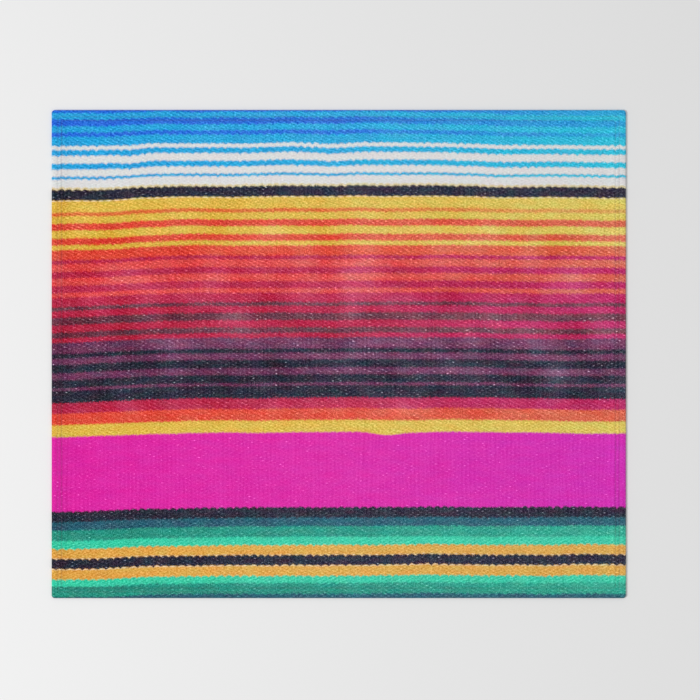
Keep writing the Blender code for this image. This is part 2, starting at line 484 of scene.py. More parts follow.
first_dye = look_up(yarn_number, [linear(yarn.dye) + (1.0,) for yarn in yarns])
second_dye = look_up(yarn_number, [linear(SECOND_BATHS.get(yarn.bath, yarn.dye)) + (1.0,) for yarn in yarns])
spins = [yarn.spin for yarn in yarns]
light_habits = look_up(yarn_number, [
    (spin.contrast / 255, spin.columns, spin.humps / 10, 1.0) for spin in spins
])
contrast, columns_shown, humps_tenth = add(weave, "ShaderNodeSeparateColor", {0: light_habits}).node.outputs
hump_habits = look_up(yarn_number, [
    (yarn.spin.row / 10, yarn.spin.narrow / 10, yarn.rising, 0.5 / yarn.spin.narrow ** 0.7) for yarn in yarns
])
row_tenth, narrow_tenth, rising_share = add(weave, "ShaderNodeSeparateColor", {0: hump_habits}).node.outputs
hump_mean = hump_habits.node.outputs["Alpha"]
print(len(yarns), "yarns looked up")

# %% [markdown]
# ## Dyes that drift
#
# From the middle to the right end a yarn takes up its second bath: blue turns to turquoise, gold to lemon, crimson
# to rose. From the middle to the left end its own dye is a little deeper, which a Gamma node gives. The slide is
# uneven, as it is in a skein dipped by hand, so slow noise pushes the place along the stripe back and forth.

# %% Drift from end to end
SECOND_SHARE = 0.4
LEFT_DEPTH = 0.2
DRIFT_UNEVEN = 0.30

patch_place = add(weave, "ShaderNodeVectorMath", {0: flat_place, 1: (1 / 0.10, 1 / 0.035, 0.0)},
                  operation="MULTIPLY")
patch_noise = add(weave, "ShaderNodeTexNoise", {"Vector": patch_place, "Scale": 1.0, "Detail": 2.0},
                  noise_dimensions="2D")
drift_place = add(weave, "ShaderNodeMath", {
    0: patch_noise, 1: DRIFT_UNEVEN,
    2: add(weave, "ShaderNodeMath", {0: along_width, 1: -DRIFT_UNEVEN / 2}, operation="ADD"),
}, operation="MULTIPLY_ADD")
first_half = add(weave, "ShaderNodeMath", {0: drift_place, 1: 2.0}, operation="MULTIPLY", use_clamp=True)
second_half = add(weave, "ShaderNodeMath", {0: drift_place, 1: 2.0, 2: -1.0}, operation="MULTIPLY_ADD",
                  use_clamp=True)
second_taken = add(weave, "ShaderNodeMath", {0: second_half, 1: SECOND_SHARE}, operation="MULTIPLY")
tinted = add(weave, "ShaderNodeMix", {0: second_taken, 6: first_dye, 7: second_dye}, output=2, data_type="RGBA")
left_depth = add(weave, "ShaderNodeMath", {0: first_half, 1: -LEFT_DEPTH, 2: 1 + LEFT_DEPTH},
                 operation="MULTIPLY_ADD")
dyed = add(weave, "ShaderNodeGamma", {"Color": tinted, "Gamma": left_depth})
print("the drift is uneven by", DRIFT_UNEVEN, "of the width")

# %% [markdown]
# ## A pale fringe beside the black
#
# Between the teeth of a black stripe the gold or cream weft is pressed up loosely and looks paler, as a line of
# small dots. On the cloth's upper side of a black stripe they lie where the arches are low, on its lower side
# where they are high.

# %% Pale dots between the black teeth
FRINGE_WIDTH = 1.5
FRINGE_STRENGTH = 0.75

black_edges = []
stripe_edge = 0.0
for (name, height), (next_name, _) in zip(CHART, CHART[1:]):
    stripe_edge += height * HEIGHT / MM / chart_height
    if next_name == "black" and name in ("cream", "amber"):
        black_edges.append((stripe_edge - FRINGE_WIDTH, True))
    if name == "black" and next_name in ("gold", "amber"):
        black_edges.append((stripe_edge + FRINGE_WIDTH, False))

arch_gaps = add(weave, "ShaderNodeMath", {0: 1.0, 1: arches}, operation="SUBTRACT")
fringe = 0.0
for middle, above in black_edges:
    away = add(weave, "ShaderNodeMath", {0: toothed, 1: 1 / FRINGE_WIDTH, 2: -middle / FRINGE_WIDTH},
               operation="MULTIPLY_ADD")
    squared = add(weave, "ShaderNodeMath", {0: away, 1: away}, operation="MULTIPLY")
    fading = add(weave, "ShaderNodeMath", {0: squared, 1: -1.0}, operation="MULTIPLY")
    line = add(weave, "ShaderNodeMath", {0: fading}, operation="EXPONENT")
    dots = arch_gaps if above else arches
    fringe = add(weave, "ShaderNodeMath", {0: line, 1: dots, 2: fringe}, operation="MULTIPLY_ADD")
fringe_shown = add(weave, "ShaderNodeMath", {0: fringe, 1: FRINGE_STRENGTH}, operation="MULTIPLY", use_clamp=True)
fringed = add(weave, "ShaderNodeMix", {0: fringe_shown, 6: dyed, 7: linear("EEE2C8") + (1.0,)}, output=2,
              data_type="RGBA")
print(len(black_edges), "edges with a pale fringe")

# %% [markdown]
# ## Places dyed deeper
#
# Through the reds and the dark ladder the colour is smoky, deeper here and there over several stripes at once. More
# dye doesn't darken every channel alike. It squares what the fibre lets through, so red stays red while its green
# and blue sink. A Gamma node does that, with an exponent a little over or under one. Noise as wide as a hand says
# where, and a curve down the cloth keeps it to the reds. Finer noise varies the rest of the cloth a little.

# %% Dye some places deeper
SMOKE_SIZE = 0.12
SMOKE_DEPTH = 0.6
DEEP_UNEVEN = 0.12

deep_place = add(weave, "ShaderNodeVectorMath", {0: flat_place, 1: (1 / 0.09, 1 / 0.09, 0.0)},
                 operation="MULTIPLY")
deep_noise = add(weave, "ShaderNodeTexNoise", {"Vector": deep_place, "Scale": 1.0, "Detail": 2.0},
                 noise_dimensions="2D")
dye_depth = add(weave, "ShaderNodeMath", {0: deep_noise, 1: DEEP_UNEVEN, 2: 1 - DEEP_UNEVEN / 2},
                operation="MULTIPLY_ADD")
smoke_noise = add(weave, "ShaderNodeTexNoise", {"Vector": flat_place, "Scale": 1 / SMOKE_SIZE, "Detail": 1.0},
                  noise_dimensions="2D")
smoke = add(weave, "ShaderNodeMath", {0: smoke_noise, 1: SMOKE_DEPTH, 2: -SMOKE_DEPTH / 2},
            operation="MULTIPLY_ADD")
smoke_reach = draw_curve(
    add(weave, "ShaderNodeFloatCurve", {"Value": along_height}),
    ((0.0, 0.0), (0.15, 0.0), (0.25, 1.0), (0.6, 1.0), (0.65, 0.0), (1.0, 0.0)),
)
dye_depth = add(weave, "ShaderNodeMath", {0: smoke, 1: smoke_reach, 2: dye_depth}, operation="MULTIPLY_ADD")
deepened = add(weave, "ShaderNodeGamma", {"Color": fringed, "Gamma": dye_depth})
print("smoky places about", round(SMOKE_SIZE / MM), "mm wide")

# %% [markdown]
# ## Humps of weft
#
# The weft rises over one warp bundle and dives under the next, and the next row goes the other way. So every bundle
# carries a hump of yarn on each second row, as bricks lie in a wall. Such a wall of bumps is the sum of two sets of
# slanting waves, one falling to the right and one rising, both 21 mm long across and two rows tall. Where the two
# are equal the eye sees dots. Where one is stronger it sees slanted strokes, as in the blues and in mint, whose yarn
# is twisted harder. A power makes the humps narrow: the dark yarns are beaten down until each is a mere dot. A
# single thread is 1 mm thick and too fine to show, so one row here stands for the few picks in one opening.
#
# No two humps are alike, so White Noise gives each its own chance, and a low chance sinks the hump. The rows don't
# stack evenly either, so noise slips each row a little to the side. In the luckiest humps the pale warp peeps
# through as a bright fleck, which shows best in the dark.

# %% Weave the humps
HUMP_HIGHLIGHT_STRENGTH = 3.2
LUCK_STRENGTH = 0.7
ROW_SLIP, ROW_SLIP_LENGTH = 0.65, 90.0
FLECK_CHANCE = 0.22
FLECK_SHARP = 8.0
FLECK_STRENGTH = 15.0

turns_across = add(weave, "ShaderNodeMath", {0: slipped, 1: 1 / BUNDLE_PITCH}, operation="MULTIPLY")
two_rows = add(weave, "ShaderNodeMath", {0: row_tenth, 1: 20.0}, operation="MULTIPLY")
turns_down = add(weave, "ShaderNodeMath", {0: unwandered, 1: two_rows}, operation="DIVIDE")
row_slip_place = add(weave, "ShaderNodeCombineXYZ", {
    0: add(weave, "ShaderNodeMath", {0: across, 1: 1 / ROW_SLIP_LENGTH}, operation="MULTIPLY"),
    1: add(weave, "ShaderNodeMath", {0: turns_down, 1: 2.4}, operation="MULTIPLY"),
})
row_slip_noise = add(weave, "ShaderNodeTexNoise", {"Vector": row_slip_place, "Scale": 1.0, "Detail": 0.0},
                     noise_dimensions="2D")
row_turns = add(weave, "ShaderNodeMath", {0: row_slip_noise, 1: ROW_SLIP, 2: turns_across},
                operation="MULTIPLY_ADD")
falling_share = add(weave, "ShaderNodeMath", {0: 1.0, 1: rising_share}, operation="SUBTRACT")
hump_wave = 0.0
hump_numbers = []
for direction, share in (("SUBTRACT", falling_share), ("ADD", rising_share)):
    turns = add(weave, "ShaderNodeMath", {0: row_turns, 1: turns_down}, operation=direction)
    hump_numbers.append(add(weave, "ShaderNodeMath", {0: turns}, operation="ROUND"))
    wave = add(weave, "ShaderNodeMath", {
        0: add(weave, "ShaderNodeMath", {0: turns, 1: 2 * pi}, operation="MULTIPLY"),
    }, operation="COSINE")
    hump_wave = add(weave, "ShaderNodeMath", {0: wave, 1: share, 2: hump_wave}, operation="MULTIPLY_ADD")
hump_round = add(weave, "ShaderNodeMath", {0: hump_wave, 1: 0.5, 2: 0.5}, operation="MULTIPLY_ADD")
narrow = add(weave, "ShaderNodeMath", {0: narrow_tenth, 1: 10.0}, operation="MULTIPLY")
# Painted highlight: the crest of each hump is painted lighter in the colour, besides being raised by the bump.
hump_crest = add(weave, "ShaderNodeMath", {0: hump_round, 1: narrow}, operation="POWER")
about_mean = add(weave, "ShaderNodeMath", {0: hump_crest, 1: hump_mean}, operation="SUBTRACT")

hump_name = add(weave, "ShaderNodeCombineXYZ", {0: hump_numbers[0], 1: hump_numbers[1]})
chance = add(weave, "ShaderNodeTexWhiteNoise", {"Vector": hump_name}, noise_dimensions="2D")
luck = add(weave, "ShaderNodeMath", {0: chance, 1: 2 * LUCK_STRENGTH, 2: 1 - LUCK_STRENGTH},
           operation="MULTIPLY_ADD")
lucky_hump = add(weave, "ShaderNodeMath", {0: about_mean, 1: luck}, operation="MULTIPLY")
humps_shown = add(weave, "ShaderNodeMath", {0: humps_tenth, 1: 10.0}, operation="MULTIPLY")
hump_relief_and_highlight = add(weave, "ShaderNodeMath", {0: lucky_hump, 1: humps_shown}, operation="MULTIPLY")

fleck_luck = add(weave, "ShaderNodeMath", {0: chance, 1: 1 / FLECK_CHANCE, 2: 1 - 1 / FLECK_CHANCE},
                 operation="MULTIPLY_ADD", use_clamp=True)
fleck_crest = add(weave, "ShaderNodeMath", {0: hump_round, 1: FLECK_SHARP}, operation="POWER")
fleck = add(weave, "ShaderNodeMath", {0: fleck_luck, 1: fleck_crest}, operation="MULTIPLY")
print("humps every", BUNDLE_PITCH, "mm, in rows 4 to 6 mm high")

# %% [markdown]
# ## Grain and columns
#
# Between the humps the light is broken up in two more ways. Spun yarn is lumpy, which gives a grain a few
# millimetres long, coarser here than the real fibres so that it shows, and longer in fat yarn than in thin. And the
# warp makes upright columns, half a bundle wide, most clearly in the magenta ground, with faint streaks where a
# thread is tight. The flecks gather along the slack threads.

# %% Add grain and columns
GRAIN_HEIGHT, GRAIN_LENGTH, FAT_GRAIN = 2.4, 1.6, 3.4
GRAIN_STRENGTH = 15.0
COLUMN_STRENGTH = 0.8
STREAK_WIDTH, STREAK_LENGTH, STREAK_STRENGTH = 0.0055, 0.16, 2.0

fatness = add(weave, "ShaderNodeMath", {0: FAT_GRAIN, 1: narrow}, operation="DIVIDE")
grain_length = add(weave, "ShaderNodeMath", {0: fatness, 1: GRAIN_LENGTH}, operation="ADD")
grain_place = add(weave, "ShaderNodeCombineXYZ", {
    0: add(weave, "ShaderNodeMath", {0: across, 1: grain_length}, operation="DIVIDE"),
    1: add(weave, "ShaderNodeMath", {0: down, 1: 1 / GRAIN_HEIGHT}, operation="MULTIPLY"),
})
grain_noise = add(weave, "ShaderNodeTexNoise", {"Vector": grain_place, "Scale": 1.0, "Detail": 1.0},
                  noise_dimensions="2D")
grain = add(weave, "ShaderNodeMath", {0: grain_noise, 1: -0.5}, operation="ADD")

column_wave = add(weave, "ShaderNodeMath", {
    0: add(weave, "ShaderNodeMath", {0: turns_across, 1: 4 * pi}, operation="MULTIPLY"),
}, operation="COSINE")
streak_place = add(weave, "ShaderNodeVectorMath", {
    0: flat_place, 1: (1 / STREAK_WIDTH, 1 / STREAK_LENGTH, 0.0),
}, operation="MULTIPLY")
streak_noise = add(weave, "ShaderNodeTexNoise", {"Vector": streak_place, "Scale": 1.0, "Detail": 1.0},
                   noise_dimensions="2D")
streaks = add(weave, "ShaderNodeMath", {0: streak_noise, 1: STREAK_STRENGTH, 2: -STREAK_STRENGTH / 2},
              operation="MULTIPLY_ADD")
slack_thread = add(weave, "ShaderNodeMath", {0: streak_noise, 1: 8.0, 2: -3.7}, operation="MULTIPLY_ADD",
                   use_clamp=True)
fleck_shown = add(weave, "ShaderNodeMath", {
    0: fleck, 1: add(weave, "ShaderNodeMath", {0: slack_thread, 1: columns_shown}, operation="MULTIPLY"),
}, operation="MULTIPLY")
upright = add(weave, "ShaderNodeMath", {0: column_wave, 1: COLUMN_STRENGTH, 2: streaks}, operation="MULTIPLY_ADD")
upright_shown = add(weave, "ShaderNodeMath", {0: upright, 1: columns_shown}, operation="MULTIPLY")
print("columns every", BUNDLE_PITCH / 2, "mm")

# %% [markdown]
# ## Light, dark and tint over the dye
#
# Dye takes better in some lengths than in others, which leaves soft clouds, a finger or two wide. They tint the
# cloth a little too, because each dye takes in its own way: red and green have clouds of their own, and blue goes
# half with green. Humps, grain, flecks and columns lighten all three by the same step as the eye sees it, as loose
# fibre that scatters white light does. The lighter crest of each hump is painted highlight, where light catches the
# raised yarn. So the sum, scaled by the yarn's own contrast, is added between two Gamma nodes, where equal steps
# look equal.

# %% Lay light, dark and tint over the dye
CLOUD_SIZE = (0.045, 0.016)
CLOUD_STRENGTH = 3.6
GAMMA = 2.2
DARKEST = 0.03

cloud_place = add(weave, "ShaderNodeVectorMath", {0: flat_place, 1: (1 / CLOUD_SIZE[0], 1 / CLOUD_SIZE[1], 0.0)},
                  operation="MULTIPLY")
cloud_noise = add(weave, "ShaderNodeTexNoise", {"Vector": cloud_place, "Scale": 1.0, "Detail": 1.0},
                  output="Color", noise_dimensions="2D")
red_cloud, green_cloud, free_cloud = add(weave, "ShaderNodeSeparateXYZ", {0: cloud_noise}).node.outputs
blue_cloud = add(weave, "ShaderNodeMix", {0: 0.4, 2: green_cloud, 3: free_cloud}, data_type="FLOAT")
clouds = add(weave, "ShaderNodeVectorMath", {
    0: add(weave, "ShaderNodeCombineXYZ", {0: red_cloud, 1: green_cloud, 2: blue_cloud}),
    1: (CLOUD_STRENGTH,) * 3,
    2: (-CLOUD_STRENGTH / 2,) * 3,
}, operation="MULTIPLY_ADD")
with_hump_highlights = add(weave, "ShaderNodeMath", {0: hump_relief_and_highlight, 1: HUMP_HIGHLIGHT_STRENGTH, 2: upright_shown}, operation="MULTIPLY_ADD")
with_grain = add(weave, "ShaderNodeMath", {0: grain, 1: GRAIN_STRENGTH, 2: with_hump_highlights}, operation="MULTIPLY_ADD")
light_and_dark = add(weave, "ShaderNodeMath", {0: fleck_shown, 1: FLECK_STRENGTH, 2: with_grain},
                     operation="MULTIPLY_ADD")
tone = add(weave, "ShaderNodeVectorMath", {0: clouds, 1: light_and_dark}, operation="ADD")
tone_steps = add(weave, "ShaderNodeVectorMath", {0: tone, "Scale": contrast}, operation="SCALE")

seen = add(weave, "ShaderNodeGamma", {"Color": deepened, "Gamma": 1 / GAMMA})
seen_toned = add(weave, "ShaderNodeVectorMath", {0: seen, 1: tone_steps}, operation="ADD")
not_too_dark = add(weave, "ShaderNodeVectorMath", {0: seen_toned, 1: (DARKEST,) * 3}, operation="MAXIMUM")
toned = add(weave, "ShaderNodeGamma", {"Color": not_too_dark, "Gamma": GAMMA})
print("light and dark added in steps the eye sees as equal")

# %% [markdown]
# ## Painted shade in the creases beside the stitching
#
# Along the two stitched rows, where the yarn is pressed together, and along the fold at the edge, the material
# paints shade into the colour. The mesh has dips at both rows, and the painted shade deepens them: clearly in the
# dark dyes, hardly at all in white, whose light bounces round inside the crease. The distance from the edge is read
# from the flat place, so each band of painted shade follows the corner too.

# %% Paint shade into the creases
OUTER_ROW, INNER_ROW = 17.0, 27.0
PAINTED_SHADE_WIDTH = 3.6
PAINTED_SHADE_DEPTH = 0.22

beside = add(weave, "ShaderNodeVectorMath", {0: flat_place}, operation="ABSOLUTE")
from_edges = add(weave, "ShaderNodeVectorMath", {0: (WIDTH / 2, HEIGHT / 2, 0.0), 1: beside},
                 operation="SUBTRACT")
edge_axes = add(weave, "ShaderNodeSeparateXYZ", {0: from_edges}).node
inset = add(weave, "ShaderNodeMath", {0: edge_axes.outputs["X"], 1: edge_axes.outputs["Y"]}, operation="MINIMUM")
# Painted shade: a soft dark band at the fold and at each stitched row, deepest at the inner row, weaker in pale
# dyes.
painted_shade_mask = 0.0
for shaded_row, strength in ((0.0, 0.6), (OUTER_ROW, 0.6), (INNER_ROW, 1.0)):
    beyond = add(weave, "ShaderNodeMath", {0: inset, 1: 1 / (PAINTED_SHADE_WIDTH * MM), 2: -shaded_row / PAINTED_SHADE_WIDTH},
                 operation="MULTIPLY_ADD")
    beyond_squared = add(weave, "ShaderNodeMath", {0: beyond, 1: beyond}, operation="MULTIPLY")
    below_zero = add(weave, "ShaderNodeMath", {0: beyond_squared, 1: -1.0}, operation="MULTIPLY")
    shade_band = add(weave, "ShaderNodeMath", {0: below_zero}, operation="EXPONENT")
    painted_shade_mask = add(weave, "ShaderNodeMath", {0: shade_band, 1: strength, 2: painted_shade_mask}, operation="MULTIPLY_ADD")
brightness = add(weave, "ShaderNodeRGBToBW", {0: dyed})
shade_by_dye = add(weave, "ShaderNodeMath", {0: brightness, 1: -1.2, 2: 1.0}, operation="MULTIPLY_ADD",
               use_clamp=True)
painted_shade_here = add(weave, "ShaderNodeMath", {0: painted_shade_mask, 1: shade_by_dye}, operation="MULTIPLY")
painted_shade_factor = add(weave, "ShaderNodeMath", {0: painted_shade_here, 1: -PAINTED_SHADE_DEPTH, 2: 1.0},
                   operation="MULTIPLY_ADD")
print("creases", OUTER_ROW, "and", INNER_ROW, "mm in from the edge")

# %% [markdown]
# ## Spun yarn under the light
#
# Soft spun cotton and acrylic scatter light evenly and have next to no gloss. So roughness is 0.92, specular is
# low, and a little sheen lifts the surface at a glance, as loose fibres do. The same humps and grain that tint the
# cloth also raise it, through one bump node half a millimetre high.

# %% Finish the cloth's shader
BUMP_HEIGHT = 0.0005

# The base colour is multiplied by the painted shade of the creases and the fold.
base_with_painted_shade = add(weave, "ShaderNodeVectorMath", {0: toned, "Scale": painted_shade_factor}, operation="SCALE")
weave.links.new(base_with_painted_shade, cloth_shader.inputs["Base Color"])

surface_height = add(weave, "ShaderNodeMath", {0: grain, 1: 0.5, 2: hump_relief_and_highlight}, operation="MULTIPLY_ADD")
bump = add(weave, "ShaderNodeBump", {"Strength": 0.5, "Distance": BUMP_HEIGHT, "Height": surface_height})
weave.links.new(bump, cloth_shader.inputs["Normal"])
cloth_shader.inputs["Roughness"].default_value = 0.92
cloth_shader.inputs["Specular IOR Level"].default_value = 0.12
cloth_shader.inputs["Sheen Weight"].default_value = 0.04
cloth_shader.inputs["Sheen Roughness"].default_value = 0.5
print(len(weave.nodes), "nodes in the cloth's material")

# %% [markdown]
# ## The shape of the hem
#
# The edge is turned under twice and stitched twice. From the side it is a low swell, 6.4 mm high: round at the
# fold, pinched at both rows of stitching and sloping down to the floor past the turned edge. The sewing pattern
# for that is a short table of how high the cloth's face stands at each distance from the fold, the same values
# that the solid part was made from, smoothed a little because cloth has no sharp bends.

# %% The hem's section
CLOTH = 0.0018
GAP = 0.0003
FOLD_RADIUS = 0.0029
CORNER_RADIUS = 0.008
HEM_EDGE = 0.0288
FLAT_FROM = 0.056
SMOOTHING = 0.0011
RELIEF = (
    (FOLD_RADIUS, 2 * FOLD_RADIUS), (0.0060, 0.0062), (0.0100, 0.0064), (0.0140, 0.0061),
    (OUTER_ROW * MM, 0.0054), (0.0200, 0.0058), (0.0235, 0.0057), (INNER_ROW * MM, 0.0046),
    (HEM_EDGE, 0.0047), (0.0320, 0.0045), (0.0370, 0.0036), (0.0430, 0.0025), (0.0490, 0.0020),
    (FLAT_FROM, CLOTH),
)


def face_height(distance):
    """How high the cloth's upper face stands at a distance in from the fold."""
    total = 0.0
    for step in (-SMOOTHING, 0.0, SMOOTHING):
        total += np.interp(distance + step, [row[0] for row in RELIEF], [row[1] for row in RELIEF])
    return total / 3


print("hem", round(face_height(0.010) / MM, 2), "mm high at most")

# %% [markdown]
# ## The cloth as rings
#
# The blanket is a rounded rectangle, so it can be built from rings of the same outline, each a little further in
# or out and a little higher or lower. One list says where each ring runs: from the flat middle out over the hem,
# round the fold, and back along the cloth's other face. Each ring also knows its place on the flat cloth before
# turning, which the stripes need. The real thickness is there, 1.8 mm, so the fold shows a round edge.

# %% Outlines and rings
LONG_STEPS, SHORT_STEPS, CORNER_STEPS = 316, 266, 6
FOLD_STEPS = 8


def outline(distance):
    """The rounded outline at a distance in from the edge, anticlockwise, as (x, y)."""
    half_x = WIDTH / 2 - distance - CORNER_RADIUS
    half_y = HEIGHT / 2 - distance - CORNER_RADIUS
    centres = [(half_x, half_y), (-half_x, half_y), (-half_x, -half_y), (half_x, -half_y)]
    points = []
    for turn, (x, y) in enumerate(centres):
        next_x, next_y = centres[(turn + 1) % 4]
        for step in range(CORNER_STEPS):
            angle = pi / 2 * (turn + step / CORNER_STEPS)
            points.append((x + CORNER_RADIUS * cos(angle), y + CORNER_RADIUS * sin(angle)))
        out_x = CORNER_RADIUS * cos(pi / 2 * (turn + 1))
        out_y = CORNER_RADIUS * sin(pi / 2 * (turn + 1))
        side_steps = SHORT_STEPS if turn % 2 else LONG_STEPS
        for step in range(side_steps):
            share = step / side_steps
            points.append((x + (next_x - x) * share + out_x, y + (next_y - y) * share + out_y))
    return points


Ring = namedtuple("Ring", "distance height flat_distance")
UPPER_MM = (56, 52.5, 49, 46, 43, 40, 37, 34.5, 32, 30.3, 28.8, 27, 25.2, 23.5, 21.7, 20, 18.5, 17, 15.5, 14,
            12, 10, 8, 6, 4.4)
LOWER_MM = (6, 10, 14, 17, 20, 23.5, 27, 32, 37, 43, 49, 56)
upper_rings = [Ring(mm * MM, face_height(mm * MM), mm * MM) for mm in UPPER_MM]
lower_rings = [Ring(mm * MM, face_height(mm * MM) - CLOTH, mm * MM) for mm in LOWER_MM]


def roll(radius, angles):
    """Rings round the fold at a radius from its middle, from 0 on top to pi below."""
    found = []
    for angle in angles:
        found.append(Ring(FOLD_RADIUS - radius * sin(angle), FOLD_RADIUS + radius * cos(angle),
                          FOLD_RADIUS * (1 - angle)))
    return found


angles_down = [pi * step / FOLD_STEPS for step in range(FOLD_STEPS + 1)]
outer_rings = upper_rings + roll(FOLD_RADIUS, angles_down)
inner_rings = roll(FOLD_RADIUS - CLOTH, angles_down[::-2]) + lower_rings
print(len(outer_rings), "outer and", len(inner_rings), "inner rings of", len(outline(0.0)), "points")

# %% [markdown]
# Inside the last ring the cloth is flat, and a grid of 18 mm cells is fine enough for its gentle slack. A triangle
# fill joins the grid to the ring, whose points are closer together. The two faces of the cloth get their own islands
# on one UV map.

# %% Join the rings and the middle
CELL = 0.018
MARGIN = 0.016
UPPER_ISLAND = (0.0, 0.83)
LOWER_ISLAND = (0.85, 1.0)

maker = bmesh.new()
flat_layer = maker.verts.layers.float_vector.new("flat_place")
bake_layer = maker.loops.layers.uv.new("OFBake")


def add_ring(ring):
    """One ring of points, each marked with its place on the flat cloth."""
    found = []
    for (x, y), (flat_x, flat_y) in zip(outline(ring.distance), outline(ring.flat_distance)):
        point = maker.verts.new((x, y, ring.height))
        point[flat_layer] = (flat_x, flat_y, 0.0)
        found.append(point)
    return found


def join_rings(before, after):
    return [
        maker.faces.new((before[index - 1], before[index], after[index], after[index - 1]))
        for index in range(len(before))
    ]


def fill_middle(ring, height, cell):
    """A flat grid inside a ring, and the triangles that join them."""
    half_x = WIDTH / 2 - FLAT_FROM - MARGIN
    half_y = HEIGHT / 2 - FLAT_FROM - MARGIN
    columns, rows = round(2 * half_x / cell), round(2 * half_y / cell)
    grid = []
    for row in range(rows + 1):
        line = []
        for column in range(columns + 1):
            x, y = half_x * (2 * column / columns - 1), half_y * (2 * row / rows - 1)
            point = maker.verts.new((x, y, height))
            point[flat_layer] = (x, y, 0.0)
            line.append(point)
        grid.append(line)
    faces = []
    for below, above in zip(grid, grid[1:]):
        for index in range(columns):
            faces.append(maker.faces.new((below[index], below[index + 1], above[index + 1], above[index])))
    rim = {edge for face in faces for edge in face.edges if edge.is_boundary}
    rim |= {maker.edges.get((ring[index - 1], ring[index])) for index in range(len(ring))}
    joined = bmesh.ops.triangle_fill(maker, use_beauty=True, edges=list(rim))
    return faces + [item for item in joined["geom"] if isinstance(item, bmesh.types.BMFace)]


outer = [add_ring(ring) for ring in outer_rings]
inner = [add_ring(ring) for ring in inner_rings]
upper_faces = [face for before, after in zip(outer, outer[1:]) for face in join_rings(before, after)]
lower_faces = [face for before, after in zip(inner, inner[1:]) for face in join_rings(before, after)]
lower_faces += join_rings(outer[-1], inner[0])
upper_faces += fill_middle(outer[0], CLOTH, CELL)
lower_faces += fill_middle(inner[-1], 0.0, 2 * CELL)

reach = FOLD_RADIUS * (pi - 1)
for faces, (start, end) in ((upper_faces, UPPER_ISLAND), (lower_faces, LOWER_ISLAND)):
    for face in faces:
        for loop in face.loops:
            x, y, _ = loop.vert[flat_layer]
            share_x = (x + WIDTH / 2 + reach) / (WIDTH + 2 * reach)
            share_y = (y + HEIGHT / 2 + reach) / (HEIGHT + 2 * reach)
            loop[bake_layer].uv = (start + (end - start) * share_x, share_y)

bmesh.ops.recalc_face_normals(maker, faces=maker.faces)
cloth_mesh = bpy.data.meshes.new("throw_cloth")
maker.to_mesh(cloth_mesh)
maker.free()
cloth_mesh.shade_smooth()
cloth_mesh.set_sharp_from_angle(angle=pi / 4)
cloth_mesh.materials.append(cloth_paint)
cloth = bpy.data.objects.new("throw_cloth", cloth_mesh)
scene.collection.objects.link(cloth)
print("cloth:", len(cloth_mesh.vertices), "points,", len(cloth_mesh.polygons), "faces")

# %% [markdown]
# ## Slack and puckers by Geometry Nodes
#
# Cloth that was cut, turned and sewn is never quite flat. Along the stitched rows it puckers, because the thread
# is tighter than the cloth, and across the middle it keeps a little slack. That follows a rule, the distance from
# the edge and some noise, so a Geometry Nodes tree is the place for it. Its inputs are the sizes that a sewer
# would name. It moves only the upper face, so the blanket still lies flat on the floor.

# %% Helpers for geometry trees
def start_tree(name, inputs):
    """A geometry tree with named inputs, and the outputs of its input node by name."""
    tree = bpy.data.node_groups.new(name, "GeometryNodeTree")
    tree.interface.new_socket("Geometry", in_out="OUTPUT", socket_type="NodeSocketGeometry")
    for label, kind in inputs.items():
        tree.interface.new_socket(label, in_out="INPUT", socket_type="NodeSocket" + kind)
    return tree, tree.nodes.new("NodeGroupInput").outputs


def end_tree(tree, geometry, paint):
    """Realize the instances, give them their material and send them out."""
    real = add(tree, "GeometryNodeRealizeInstances", {0: geometry})
    painted = add(tree, "GeometryNodeSetMaterial", {"Geometry": real, "Material": paint})
    tree.links.new(painted, tree.nodes.new("NodeGroupOutput").inputs[0])


def grow(host, tree, values):
    """Run a tree on an object and keep the result as its plain mesh."""
    modifier = host.modifiers.new(tree.name, "NODES")
    modifier.node_group = tree
    for item in tree.interface.items_tree:
        if item.name in values:
            modifier[item.identifier] = values[item.name]
    evaluated = host.evaluated_get(bpy.context.evaluated_depsgraph_get())
    grown = bpy.data.meshes.new_from_object(evaluated)
    host.modifiers.clear()
    host.data = grown
    host.data.name = host.name
    return host


# %% Pucker the hem and slacken the middle
relief, sizes = start_tree("hem puckers and slack", {
    "Geometry": "Geometry", "Width": "Float", "Height": "Float", "Outer row": "Float", "Inner row": "Float",
    "Row width": "Float", "Pucker pitch": "Float", "Pucker depth": "Float", "Slack height": "Float",
    "Slack pitch": "Float",
})
place = add(relief, "GeometryNodeInputPosition")
place_axes = add(relief, "ShaderNodeSeparateXYZ", {
    0: add(relief, "ShaderNodeVectorMath", {0: place}, operation="ABSOLUTE"),
}).node
from_sides = add(relief, "ShaderNodeMath", {0: sizes["Width"], 1: 0.5, 2: 0.0}, operation="MULTIPLY_ADD")
from_ends = add(relief, "ShaderNodeMath", {0: sizes["Height"], 1: 0.5, 2: 0.0}, operation="MULTIPLY_ADD")
distance_in = add(relief, "ShaderNodeMath", {
    0: add(relief, "ShaderNodeMath", {0: from_sides, 1: place_axes.outputs["X"]}, operation="SUBTRACT"),
    1: add(relief, "ShaderNodeMath", {0: from_ends, 1: place_axes.outputs["Y"]}, operation="SUBTRACT"),
}, operation="MINIMUM")

rows_near = 0.0
for row_name in ("Outer row", "Inner row"):
    off_row = add(relief, "ShaderNodeMath", {
        0: add(relief, "ShaderNodeMath", {0: distance_in, 1: sizes[row_name]}, operation="SUBTRACT"),
        1: sizes["Row width"],
    }, operation="DIVIDE")
    off_row_squared = add(relief, "ShaderNodeMath", {0: off_row, 1: off_row}, operation="MULTIPLY")
    row_near = add(relief, "ShaderNodeMath", {
        0: add(relief, "ShaderNodeMath", {0: off_row_squared, 1: -1.0}, operation="MULTIPLY"),
    }, operation="EXPONENT")
    rows_near = add(relief, "ShaderNodeMath", {0: row_near, 1: rows_near}, operation="ADD")

